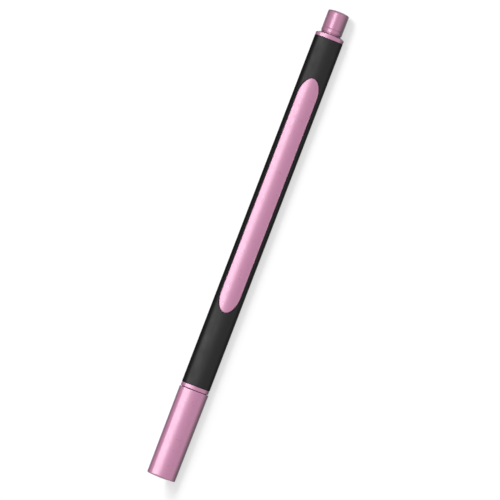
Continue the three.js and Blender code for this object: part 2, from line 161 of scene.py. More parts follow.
def dome(rim: float, top: float, radius: float) -> list[Station]:
    """Outline from a shallow dome's top to near its rim, falling with the square of the radius's share."""
    return turned(*((top + (rim - top) * share**2, radius * share) for share in (0.0, 0.2, 0.4, 0.55)))


@dataclass
class Surface:
    """Points in mm about the pen's axis, and quads as rows of four point numbers."""

    points: np.ndarray
    quads: np.ndarray

    @staticmethod
    def from_grid(rows: np.ndarray, looped: bool = False, wrapped: bool = False) -> "Surface":
        """Joins neighbours of a grid of points into quads.

        Args:
            rows: Points of shape (rows, columns, 3).
            looped: True if the last row also joins the first.
            wrapped: True if the last column also joins the first.

        Returns:
            The surface.
        """
        count, across = rows.shape[:2]
        number = np.arange(count * across).reshape(count, across)
        if looped:
            number = np.vstack([number, number[:1]])
        if wrapped:
            number = np.hstack([number, number[:, :1]])
        quads = np.stack([number[:-1, :-1], number[:-1, 1:], number[1:, 1:], number[1:, :-1]], axis=-1)
        return Surface(rows.reshape(-1, 3), quads.reshape(-1, 4))

    @staticmethod
    def joined(*parts: "Surface") -> "Surface":
        """Puts several surfaces into one.

        Args:
            parts: The surfaces, whose shared borders are merged when the mesh is closed.

        Returns:
            The surface.
        """
        starts = np.cumsum([0] + [len(part.points) for part in parts[:-1]])
        quads = [part.quads + start for part, start in zip(parts, starts)]
        return Surface(np.vstack([part.points for part in parts]), np.vstack(quads))

    def reversed(self) -> "Surface":
        """The same surface with its faces turned round."""
        return Surface(self.points, self.quads[:, ::-1])


def new_object(name: str, data: bpy.types.ID) -> bpy.types.Object:
    """Adds an object to the scene.

    Args:
        name: Its name.
        data: Its mesh, lamp or camera.

    Returns:
        The object.
    """
    obj = bpy.data.objects.new(name, data)
    bpy.context.collection.objects.link(obj)
    return obj


def soften(rows: np.ndarray, edges: Sequence[float], looped: bool) -> np.ndarray:
    """Rounds the corners of an outline, column by column.

    A corner becomes a quadratic curve, (1-t)² start + 2t(1-t) corner + t² end, whose ends lie the edge's
    length from the corner, and one more row on each side keeps the flats beside it flat.

    Args:
        rows: Points of shape (rows, columns, 3).
        edges: Rounding of each row in mm, 0 for a sharp one.
        looped: True if the outline closes on itself.

    Returns:
        The longer grid of points.
    """
    share = np.linspace(0.0, 1.0, CORNER_STEPS + 1)[:, None, None]
    made = []
    for k, edge in enumerate(edges):
        corner = rows[k]
        if edge <= 0.0 or (not looped and k in (0, len(edges) - 1)):
            made.append(corner[None])
            continue
        runs = [rows[(k + step) % len(edges)] - corner for step in (-1, 1)]
        spans = [np.linalg.norm(run, axis=-1, keepdims=True) for run in runs]
        reach = min(float(edge), *(CORNER_SHARE * float(span.min()) for span in spans))
        start, end = (corner + run / span * reach for run, span in zip(runs, spans))
        first, last = (corner + run / span * reach * CORNER_SUPPORT for run, span in zip(runs, spans))
        curve = (1 - share) ** 2 * start + 2 * share * (1 - share) * corner + share**2 * end
        made.extend([first[None], curve, last[None]])
    return np.concatenate(made)


@dataclass
class BarrelSection:
    """The barrel's rounded triangle: three shallow face arcs joined by three corner arcs, in mm."""

    half_width: float = 4.58
    face_radius: float = 9.67
    corner_radius: float = 2.29
    turn: float = math.radians(60)
    third: float = 2 * math.pi / 3
    columns: int = 216

    def __post_init__(self) -> None:
        """Works out a face arc's half angle, the skin's distances from the axis, and where arcs meet."""
        narrowing = self.half_width - self.corner_radius
        between = self.face_radius - self.corner_radius
        self.half_span = math.asin(narrowing / between)
        self.corner_centre = narrowing / math.sin(self.third / 2)
        self.corner_reach = self.corner_centre + self.corner_radius
        inset = between * math.cos(self.half_span)
        self.apothem = self.face_radius - inset + self.corner_centre * math.cos(self.third / 2)
        face = self.face_radius * self.half_span
        bend = self.third - 2 * self.half_span
        self.lengths = np.cumsum([0.0] + [face, self.corner_radius * bend, face] * 3)
        self.angles = np.cumsum([0.0] + [self.half_span, bend, self.half_span] * 3)
        self.girth = float(self.lengths[-1])

    def walk_to(self, lateral: np.ndarray, offset: float) -> np.ndarray:
        """Walk round the section to a place on the window's side.

        The place's sideways distance is the radius times the sine of the normal's angle on the face arc,
        and beyond it the same sine on the corner arc about that arc's centre.

        Args:
            lateral: Distances from the window's middle plane in mm.
            offset: Outward offset of the skin.

        Returns:
            Signed walks in mm.
        """
        reach = np.abs(lateral)
        edge = (self.face_radius + offset) * math.sin(self.half_span)
        centre = (self.face_radius - self.corner_radius) * math.sin(self.half_span)
        on_face = np.arcsin(np.clip(reach / (self.face_radius + offset), 0, 1))
        on_corner = np.arcsin(np.clip((reach - centre) / (self.corner_radius + offset), 0, 1))
        angle = np.where(reach <= edge, on_face, on_corner)
        return np.sign(lateral) * np.interp(angle, self.angles, self.lengths)

    def direction(self, angle: np.ndarray) -> np.ndarray:
        """Unit vectors across the pen at angles from the window's normal."""
        return np.stack([-np.sin(angle + self.turn), np.cos(angle + self.turn)], axis=-1)

    def skin(self, walk: np.ndarray, offset: np.ndarray) -> np.ndarray:
        """Points of the rounded triangle: an arc's centre plus its radius and the offset along the normal.

        Args:
            walk: Walks round the section in mm, negative ones counted backwards.
            offset: Outward offsets that broadcast with the walks.

        Returns:
            Points of shape (..., 2) across the pen.
        """
        angle = np.interp(np.mod(walk, self.girth), self.lengths, self.angles)
        face = np.round(angle / self.third)
        beside = angle - face * self.third
        on_face = np.abs(beside) <= self.half_span + ROUND_OFF
        corner = (face + 0.5 * np.sign(beside)) * self.third
        centre = np.where(
            on_face[..., None],
            self.direction(face * self.third) * (self.apothem - self.face_radius),
            self.direction(corner) * self.corner_centre,
        )
        radius = np.where(on_face, self.face_radius, self.corner_radius) + offset
        return centre + radius[..., None] * self.direction(angle)

    def rings(self, stations: Sequence[Station]) -> np.ndarray:
        """Rings of an outline, each from its gap on one side of the window to that on the other.

        A faced ring follows the offset skin, and a round one a circle in the same directions from the axis.
        A cone's edge follows the bare skin, further along by the corner's distance from the axis less the
        point's, over the cone's slope.

        Args:
            stations: The outline's rings.

        Returns:
            Points of shape (stations, columns + 1, 3) in mm about the pen's axis.
        """
        share = np.linspace(0.0, 1.0, self.columns + 1)[None, :]
        s, size, gap = (np.array([getattr(station, name) for station in stations])[:, None]
                        for name in ("s", "size", "gap"))
        form = np.array([station.form.value for station in stations])[:, None, None]
        walk = gap + share * (self.girth - 2 * gap)
        bare = self.skin(walk, np.zeros_like(walk))
        reach = np.linalg.norm(bare, axis=-1, keepdims=True)
        circle = bare / reach * size[..., None]
        across = np.where(form == Form.FACED.value, self.skin(walk, size + np.zeros_like(walk)), circle)
        across = np.where(form == Form.CONE.value, bare, across)
        slope = np.where(form == Form.CONE.value, size[..., None], np.inf)
        along = s[..., None] + (self.corner_reach - reach) / slope
        return np.concatenate([along, across], axis=-1)

    def swept(self, stations: Sequence[Station], looped: bool) -> Surface:
        """Carries an outline round the axis: a tube's if looped, or else one that ends on the axis."""
        rows = soften(self.rings(stations), [station.edge for station in stations], looped)
        return Surface.from_grid(rows, looped)


@dataclass
class Lengths:
    """Driving lengths in mm, and places along the pen in mm from the cap's closed end."""

    cap: float = 28.99
    seam: float = 0.16
    front_ring: float = 1.2
    sleeve: float = 114.75
    rear_band: float = 0.9
    rear_chamfer: float = 0.68
    plug_neck: float = 0.45
    plug_stub: float = 7.12
    nose: float = 20.4
    valve_shelf_setback: float = 5.15
    press_travel: float = 1.2

    def __post_init__(self) -> None:
        """Works out places from the barrel's front face to the plug's top, and the nose's front and shelf."""
        self.core_front = self.cap + self.seam
        self.sleeve_front = self.core_front + self.front_ring
        self.sleeve_rear = self.sleeve_front + self.sleeve
        self.band_end = self.sleeve_rear + self.rear_band
        self.core_rear = self.band_end + self.rear_chamfer
        self.stub_front = self.core_rear + self.plug_neck
        self.end = self.stub_front + self.plug_stub
        self.nose_front = self.core_front - self.nose
        self.valve_shelf = self.core_front - self.valve_shelf_setback


@dataclass
class Fits:
    """Walls, clearances and shared seats in mm, and the radii that follow from them and the section."""

    section: BarrelSection
    sleeve: float = 0.55
    core_wall: float = 0.6
    cap_wall: float = 0.5
    cap_clearance: float = 0.08
    fixed: float = 0.05
    running: float = 0.06
    nose_wall: float = 0.6
    cage_wall: float = 0.5
    tip: float = 1.0
    stem: float = 0.6
    flow: float = 0.15
    land: float = 2.2
    seal_width: float = 1.1
    seal_depth: float = 0.4
    seal_setback: float = 2.2

    def __post_init__(self) -> None:
        """Works out the offset of the core's skin, and the radii of bores and of what sits in them."""
        self.core_offset = -(self.sleeve + self.fixed)
        self.bore = self.section.apothem + self.core_offset - self.core_wall
        self.spigot = self.bore - self.fixed
        self.cap_bore = self.section.apothem - self.cap_wall
        self.seat = self.cap_bore - self.cap_clearance
        self.valve_bore = self.spigot - self.nose_wall
        self.cage = self.valve_bore - self.fixed
        self.cage_bore = self.cage - self.cage_wall
        self.tip_bore = self.tip + self.running

    def seal_groove(self, front: float, edge: float) -> list[Station]:
        """Outline of a sealing ring's groove in a spigot.

        Args:
            front: Place of its front wall.
            edge: Rounding of its rims.

        Returns:
            Stations from its front rim to its rear one.
        """
        rear = front + self.seal_width
        floor = self.spigot - self.seal_depth
        return turned((front, self.spigot, edge), (front, floor), (rear, floor), (rear, self.spigot, edge))


@dataclass
class Workshop:
    """Turns surfaces about the pen's axis into placed, dressed pieces."""

    section: BarrelSection
    lengths: Lengths
    fits: Fits
    finishes: dict[Slot, bpy.types.Material]

    @property
    def origin(self) -> np.ndarray:
        """Place of the cap's closed end on the pen's axis in the frame, in mm."""
        low, high = (np.array(corner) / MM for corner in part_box("end_plug"))
        return np.array([high[0] - self.lengths.end, (low[1] + high[1]) / 2, (low[2] + high[2]) / 2])

    def piece(self, node: str, surface: Surface, body: Body, slot: Slot,
              shift: Sequence[float] = (0.0, 0.0, 0.0)) -> bpy.types.Object:
        """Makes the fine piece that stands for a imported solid.

        Args:
            node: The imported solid's name.
            surface: The piece's surface in mm about the pen's axis.
            body: The body it moves with.
            slot: The finish it takes.
            shift: Its place from the pen's axis in mm.

        Returns:
            The new object, at the origin, with its place in its mesh.
        """
        name = f"{node}_fine"
        points = (surface.points + self.origin + np.array(shift)) * MM
        mesh = bpy.data.meshes.new(name)
        mesh.vertices.add(len(points))
        mesh.vertices.foreach_set("co", points.astype(np.float32).ravel())
        mesh.loops.add(surface.quads.size)
        mesh.loops.foreach_set("vertex_index", surface.quads.astype(np.int32).ravel())
        mesh.polygons.add(len(surface.quads))
        mesh.polygons.foreach_set("loop_start", np.arange(0, surface.quads.size, 4, dtype=np.int32))
        mesh.update(calc_edges=True)
        self.close(mesh)
        mesh.polygons.foreach_set("use_smooth", np.ones(len(mesh.polygons), dtype=bool))
        mesh.materials.append(self.finishes[slot])
        obj = new_object(name, mesh)
        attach(obj, body.value)
        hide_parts(node)
        LOG.info("%s: %d faces, on %s", name, len(mesh.polygons), body.value)
        return obj

    def sweep(self, node: str, outline: Sequence[Station], body: Body, slot: Slot) -> None:
        """Makes a piece by carrying an outline round the axis, looped unless it starts and ends there."""
        self.piece(node, self.section.swept(outline, looped=outline[0].size > 0), body, slot)

    @staticmethod
    def close(mesh: bpy.types.Mesh) -> None:
        """Merges seams and poles, drops what collapsed, and turns the faces out.

        Args:
            mesh: The mesh that it changes.
        """
        work = bmesh.new()
        work.from_mesh(mesh)
        bmesh.ops.remove_doubles(work, verts=work.verts, dist=MERGE)
        bmesh.ops.dissolve_degenerate(work, edges=work.edges, dist=COLLAPSED)
        if work.calc_volume(signed=True) < 0:
            bmesh.ops.reverse_faces(work, faces=work.faces)
        open_edges = sum(1 for edge in work.edges if not edge.is_manifold)
        if open_edges:
            LOG.warning("%s: %d open edges", mesh.name, open_edges)
        work.to_mesh(mesh)
        work.free()

    def dress(self, node: str, slot: Slot) -> None:
        """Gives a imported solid, which keeps its shape, its finish.

        Args:
            node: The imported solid's name.
            slot: The finish.
        """
        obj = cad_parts[node]
        obj.data.materials.clear()
        obj.data.materials.append(self.finishes[slot])
        LOG.info("%s: packed solid in %s", node, slot.value)


@dataclass
class Assembly:
    """A group of pieces that a workshop makes."""

    shop: Workshop

    def __post_init__(self) -> None:
        """Keeps the pen's section, lengths and fits at hand."""
        self.section, self.lengths, self.fits = self.shop.section, self.shop.lengths, self.shop.fits

    def build(self) -> None:
        """Makes the pieces, which each assembly does in its own way."""
        raise NotImplementedError


@dataclass(frozen=True)
class Pattern:
    """A cloudy pattern: its blobs per millimetre, octaves of finer noise, and scale along X, Y and Z."""

    per_mm: float
    detail: float = 2.0
    scale: Sequence[float] = (1, 1, 1)


class NodeBoard:
    """A material's node tree with short calls to add and join nodes."""

    def __init__(self, name: str) -> None:
        """Starts a material with a Principled shader.

        Args:
            name: The material's name.
        """
        self.material = bpy.data.materials.new(name)
        self.material.use_nodes = True
        self.tree = self.material.node_tree
        self.shader = self.tree.nodes["Principled BSDF"]
        self.place = self.add("TexCoord").outputs["Object"]

    def put(self, socket: Socket, value: object) -> None:
        """Fills an input of a node.

        Args:
            socket: The input.
            value: An output that it is joined to, or a plain value.
        """
        if isinstance(value, Socket):
            self.tree.links.new(value, socket)
        else:
            socket.default_value = value

    def fill(self, node: bpy.types.Node, **values: object) -> bpy.types.Node:
        """Fills inputs of a node.

        Args:
            node: The node.
            values: An output or a plain value for each input, named with _ for a space.

        Returns:
            The node.
        """
        for name, value in values.items():
            self.put(node.inputs[name.replace("_", " ")], value)
        return node

    def add(self, kind: str, **values: object) -> bpy.types.Node:
        """Adds a shader node of a kind, with its inputs filled."""
        return self.fill(self.tree.nodes.new(f"ShaderNode{kind}"), **values)

    def set(self, **values: object) -> None:
        """Fills inputs of the Principled shader."""
        self.fill(self.shader, **values)

    def noise(self, pattern: Pattern) -> Socket:
        """Noise that follows Object coordinates.

        Args:
            pattern: Its size and shape.

        Returns:
            The noise's value, mostly near a half.
        """
        place = self.add("Mapping", Vector=self.place, Scale=pattern.scale).outputs["Vector"]
        node = self.add("TexNoise", Vector=place, Scale=pattern.per_mm / MM, Detail=pattern.detail)
        return node.outputs["Fac"]

    def ramp(self, source: Socket, low: float, high: float, start: float = 0.3, end: float = 0.7) -> Socket:
        """Maps a value between a start and an end, by default those of most noise, to another range."""
        node = self.add("MapRange", Value=source, From_Min=start, From_Max=end, To_Min=low, To_Max=high)
        return node.outputs["Result"]

    def turned_away(self, facing_level: float, edge_level: float, end: float) -> Socket:
        """Level that changes as the skin turns from the eye, until the facing value reaches an end."""
        return self.ramp(self.add("LayerWeight").outputs["Facing"], facing_level, edge_level, 0.0, end)

    def mix(self, source: object, first: object, second: object, blend: str = "MIX") -> Socket:
        """Blends two linear colours by a value.

        Args:
            source: Value from 0 to 1, as a socket or a number.
            first: Colour at 0, as a socket or three numbers.
            second: Colour at 1, likewise.
            blend: Blender's name for the way of blending.

        Returns:
            The blended colour.
        """
        node = self.add("Mix")
        node.data_type = "RGBA"
        node.blend_type = blend
        self.put(node.inputs[MIX_FACTOR], source)
        for number, colour in ((MIX_FIRST, first), (MIX_SECOND, second)):
            self.put(node.inputs[number], (*colour, 1) if isinstance(colour, tuple) else colour)
        return node.outputs[MIX_RESULT]

    def rough(self, source: Socket, middle: float, spread: float) -> None:
        """Lets the roughness wander with a noise, by a spread on each side of its middle."""
        self.set(Roughness=self.ramp(source, middle - spread, middle + spread))

    def bump(self, source: Socket, height_mm: float, strength: float) -> None:
        """Raises the surface by a value, whose full height is in mm, and lets a share of the slope show."""
        node = self.add("Bump", Height=source, Distance=height_mm * MM, Strength=strength)
        self.set(Normal=node.outputs["Normal"])


@dataclass(frozen=True)
class Finish:
    """A finish that varies between two near tones, which are linear colours."""

    name: str
    dark: Colour
    light: Colour

    def make(self) -> bpy.types.Material:
        """Builds the material.

        Returns:
            The material.
        """
        board = NodeBoard(self.name)
        self.coat(board)
        return board.material

    def coat(self, board: NodeBoard) -> None:
        """Fills the shader of a board, which each kind of finish does in its own way."""
        raise NotImplementedError


@dataclass(frozen=True)
class PearlLacquer(Finish):
    """Pearl lacquer: fine flat flakes in a tinted film.

    The base colour is painted darker, as painted shade, where the skin turns from the eye: the first of the
    two shade fields below is the share of that darkening, and the second the facing value from which all of
    it is painted.
    """

    metallic: float = 0.08
    specular: float = 0.7
    roughness: float = 0.3
    spread: float = 0.03
    patches: Pattern = Pattern(0.6)
    # Share and end of the painted shade on the flanks that turn from the eye
    painted_shade: float = 0.6
    painted_shade_end: float = 0.5
    flakes_per_mm: float = 12.0
    height_mm: float = 0.0003
    strength: float = 0.25

    def coat(self, board: NodeBoard) -> None:
        """Fills the shader of a board.

        Args:
            board: The board.
        """
        flakes = board.add("TexVoronoi", Vector=board.place, Scale=self.flakes_per_mm / MM).outputs["Color"]
        tones = board.mix(flakes, self.dark, self.light)
        # Painted shade: the base colour is multiplied darker where the skin turns from the eye; the value
        # called sheen here is that painted shade, not a sheen
        sheen = board.turned_away(1.0, 1 - self.painted_shade, self.painted_shade_end)
        board.set(Metallic=self.metallic, Specular_IOR_Level=self.specular,
                  Base_Color=board.mix(1.0, tones, sheen, "MULTIPLY"))
        board.rough(board.noise(self.patches), self.roughness, self.spread)
        board.bump(flakes, self.height_mm, self.strength)


@dataclass(frozen=True)
class Moulded(Finish):
    """Moulded plastic or rubber with a faint flow texture."""

    roughness: float = 0.4
    height_mm: float = 0.002
    subsurface: float = 0.0
    subsurface_mm: float = 0.5
    spread: float = 0.06
    mottle: Pattern = Pattern(0.4, 2.0, (0.5, 1, 1))
    patches: Pattern = Pattern(1.2)
    grain: Pattern = Pattern(5.0)
    strength: float = 0.4

    def coat(self, board: NodeBoard) -> None:
        """Fills the shader of a board.

        Args:
            board: The board.
        """
        board.set(Subsurface_Weight=self.subsurface, Subsurface_Scale=self.subsurface_mm * MM,
                  Base_Color=board.mix(board.noise(self.mottle), self.dark, self.light))
        board.rough(board.noise(self.patches), self.roughness, self.spread)
        board.bump(board.noise(self.grain), self.height_mm, self.strength)


@dataclass(frozen=True)
class SoftTouch(Moulded):
    """Soft matt coating with a velvet grain, which shines less where the skin turns from the eye."""

    roughness: float = 0.55
    height_mm: float = 0.004
    spread: float = 0.05
    mottle: Pattern = Pattern(0.25, 3.0, (0.3, 1, 1))
    patches: Pattern = Pattern(0.5, 2.0, (0.4, 1, 1))
    grain: Pattern = Pattern(7.0, 3.0)
    strength: float = 0.6
    shine_facing: float = 0.45
    shine_edge: float = 0.1
    shine_end: float = 0.4

    def coat(self, board: NodeBoard) -> None:
        """Fills the shader of a board."""
        super().coat(board)
        board.set(Specular_IOR_Level=board.turned_away(self.shine_facing, self.shine_edge, self.shine_end))


@dataclass(frozen=True)
class Fibrous(Finish):
    """Bonded fibres or felt: streaks or pores with a rough, matt surface."""

    strands: Pattern = Pattern(12.0, 3.0, (0.08, 1, 1))
    height_mm: float = 0.02
    strength: float = 0.8
    roughness: float = 0.9
    sheen: float = 0.2

    def coat(self, board: NodeBoard) -> None:
        """Fills the shader of a board.

        Args:
            board: The board.
        """
        board.set(Roughness=self.roughness, Sheen_Weight=self.sheen)
        strands = board.noise(self.strands)
        board.set(Base_Color=board.mix(board.ramp(strands, 0.0, 1.0), self.dark, self.light))
        board.bump(strands, self.height_mm, self.strength)


@dataclass(frozen=True)
class Steel(Finish):
    """Bare steel with fine drawing or polishing marks."""

    roughness: float
    spread: float
    marks: Pattern = Pattern(10.0)
    mark_height_mm: float = 0.0008
    mark_strength: float = 0.4

    def coat(self, board: NodeBoard) -> None:
        """Fills the shader of a board.

        Args:
            board: The board.
        """
        marks = board.noise(self.marks)
        board.set(Metallic=1.0, Base_Color=board.mix(marks, self.dark, self.light))
        board.rough(marks, self.roughness, self.spread)
        board.bump(marks, self.mark_height_mm, self.mark_strength)


def make_finishes() -> dict[Slot, bpy.types.Material]:
    """Makes the material of every slot.

    Returns:
        The materials by slot.
    """
    recipes = {
        Slot.PINK: PearlLacquer("pink_pearl_lacquer", (0.65, 0.285, 0.46), (0.7, 0.312, 0.5)),
        Slot.SOFT_BLACK: SoftTouch("soft_black_coating", (0.0045, 0.0045, 0.0048), (0.0062, 0.0062, 0.0065)),
        Slot.DARK_PLASTIC: Moulded("dark_moulding", (0.035, 0.033, 0.035), (0.045, 0.042, 0.045), 0.38),
        Slot.NATURAL_PLASTIC: Moulded("natural_moulding", (0.72, 0.69, 0.62), (0.78, 0.75, 0.69), 0.42,
                                      subsurface=0.3),
        Slot.RUBBER: Moulded("black_rubber", (0.012,) * 3, (0.02,) * 3, 0.7, 0.006),
        Slot.FIBRE: Fibrous("pink_stained_fibre", (0.62, 0.33, 0.46), (0.82, 0.6, 0.7)),
        Slot.SPONGE: Fibrous("pale_felt", (0.6, 0.54, 0.42), (0.8, 0.76, 0.66), Pattern(6.0, 3.0), 0.05),
        Slot.SPRING: Steel("drawn_wire", (0.495, 0.504, 0.522), (0.55, 0.56, 0.58), 0.28, 0.056,
                           Pattern(10.0, 2.0, (0.1, 1, 1))),
        Slot.BALL: Steel("polished_steel", (0.558, 0.567, 0.585), (0.62, 0.63, 0.65), 0.12, 0.024),
    }
    return {slot: recipe.make() for slot, recipe in recipes.items()}


@dataclass(frozen=True)
class WindowOval:
    """The long oval of the window: straight sides between two half-ellipses, in mm."""

    section: BarrelSection
    front: float
    length: float = 77.05
    half_width: float = 3.18
    end_length: float = 5.9
    end_steps: int = 40
    straight_steps: int = 30
    plate_steps: int = 48
    support: Sequence[float] = (0.04, 0.15, 0.5, 1.5)

    def border(self, margin: float) -> tuple[np.ndarray, np.ndarray]:
        """Half-widths of the oval from its front tip to its rear tip.

        On an end the distance from the end's centre is the cosine, and the half-width the sine, of an angle
        that runs a quarter turn, times the half-axes. Between the ends the half-width stays the same.

        Args:
            margin: How far the oval is grown.

        Returns:
            Places along the pen and half-widths in mm.
        """
        angle = np.linspace(0.0, math.pi / 2, self.end_steps + 1)
        along = (self.end_length + margin) * np.cos(angle)
        across = (self.half_width + margin) * np.sin(angle)
        front_centre = self.front + self.end_length
        rear_centre = self.front + self.length - self.end_length
        straight = np.linspace(front_centre, rear_centre, self.straight_steps + 1)[1:-1]
        places = np.concatenate([front_centre - along, straight, rear_centre + along[::-1]])
        side = np.full(len(straight), self.half_width + margin)
        return places, np.concatenate([across, side, across[::-1]])

    def stations(self, margin: float, offset: float) -> list[Station]:
        """Faced rings whose gap is the oval, for a skin with a hole.

        Args:
            margin: How far the oval is grown.
            offset: Outward offset of the skin.

        Returns:
            The rings, with a few full ones beyond each tip.
        """
        places, widths = self.border(margin)
        beyond = np.array(self.support)
        places = np.concatenate([places[0] - beyond[::-1], places, places[-1] + beyond])
        gaps = self.section.walk_to(np.pad(widths, len(beyond)), offset)
        return [Station(s, offset, 0.0, Form.FACED, gap) for s, gap in zip(places.tolist(), gaps.tolist())]

    def lip(self, profile: Sequence[tuple[float, float]]) -> Surface:
        """Carries a small profile round the oval.

        Args:
            profile: Pairs of margin and outward offset in mm, from the outer skin inwards.

        Returns:
            The strip of surface.
        """
        rows = []
        for margin, offset in profile:
            places, widths = self.border(margin)
            loop_s = np.concatenate([places, places[-2:0:-1]])
            loop_w = np.concatenate([widths, -widths[-2:0:-1]])
            across = self.section.skin(self.section.walk_to(loop_w, offset), np.full(len(loop_w), offset))
            rows.append(np.column_stack([loop_s, across]))
        return Surface.from_grid(np.array(rows), wrapped=True)

    def plate(self, margin: float, offset: float) -> Surface:
        """The skin inside the oval, row by row from tip to tip.

        Args:
            margin: How far the oval is grown.
            offset: Outward offset of the skin.

        Returns:
            The surface.
        """
        places, widths = self.border(margin)
        lateral = widths[:, None] * np.linspace(-1.0, 1.0, self.plate_steps + 1)[None, :]
        walk = self.section.walk_to(lateral, offset)
        across = self.section.skin(walk, np.full(walk.shape, offset))
        along = np.broadcast_to(places[:, None, None], walk.shape + (1,))
        return Surface.from_grid(np.concatenate([along, across], axis=-1))


def lip_profile(margin: float, offset: float, radius: float, inwards: float) -> list[tuple[float, float]]:
    """Quarter-round of a lip, from the skin to the wall.

    Args:
        margin: Margin of the wall.
        offset: Offset of the skin.
        radius: Radius of the rounding.
        inwards: 1 for a hole's edge, whose skin lies outside, and -1 for a raised field's edge.

    Returns:
        Pairs of margin, which grows by the radius times one minus the sine of an angle up to a quarter turn,
        and of offset, which falls by the radius times one minus its cosine.
    """
    angle = np.linspace(0.0, math.pi / 2, CORNER_STEPS + 1)
    margins = margin + inwards * radius * (1 - np.sin(angle))
    offsets = offset - radius * (1 - np.cos(angle))
    return list(zip(margins.tolist(), offsets.tolist()))


@dataclass
class CapAssembly(Assembly):
    """Cap: pink shell and the lining cup inside it."""

    flare: float = 0.155
    flare_support: float = 0.3
    end_wall: float = 1.3
    end_dome: float = 0.35
    end_fillet: float = 0.4
    mouth_step: float = 0.12
    mouth_depth: float = 0.2
    liner_floor: float = 1.0
    liner_lip: float = 1.3
    liner_relief: float = 0.25
    lip_setback: float = 0.8

    def build(self) -> None:
        """Makes the shell and the lining."""
        self.build_shell()
        self.build_liner()

    def build_shell(self) -> None:
        """Makes the shell, which flares evenly from its domed end to its mouth."""
        cap = self.lengths.cap
        bore = self.fits.cap_bore
        shell = [
            *dome(self.end_dome, 0.0, self.section.apothem),
            faced(self.end_dome, 0, self.end_fillet),
            faced(cap * self.flare_support, self.flare * self.flare_support),
            faced(cap, self.flare, Edge.FULL),
            *turned((cap, bore + self.mouth_step, Edge.RIM), (cap - self.mouth_depth, bore),
                    (self.end_wall, bore, Edge.FULL), (self.end_wall, 0)),
        ]
        self.shop.sweep("cap_shell", shell, Body.CAP, Slot.PINK)

    def build_liner(self) -> None:
        """Makes the lining, whose rear lip closes on the nose's land."""
        front = self.lengths.nose_front
        rear = front + NoseAssembly.land_setback + NoseAssembly.land_length - self.lip_setback
        base = self.end_wall + self.fits.fixed
        floor = base + self.liner_floor
        outer = self.fits.cap_bore - self.fits.fixed
        lip = self.fits.land + self.fits.cap_clearance
        lip_front = rear - self.liner_lip
        inside = lip + self.liner_relief
        liner = turned(
            (base, 0), (base, outer, Edge.SOFT), (rear, outer, Edge.PLAIN), (rear, lip, Edge.STEP),
            (lip_front, lip, Edge.RING), (lip_front - self.liner_relief, inside, Edge.RING),
            (floor, inside, Edge.DEEP), (floor, 0),
        )
        self.shop.sweep("cap_liner", liner, Body.CAP, Slot.NATURAL_PLASTIC)


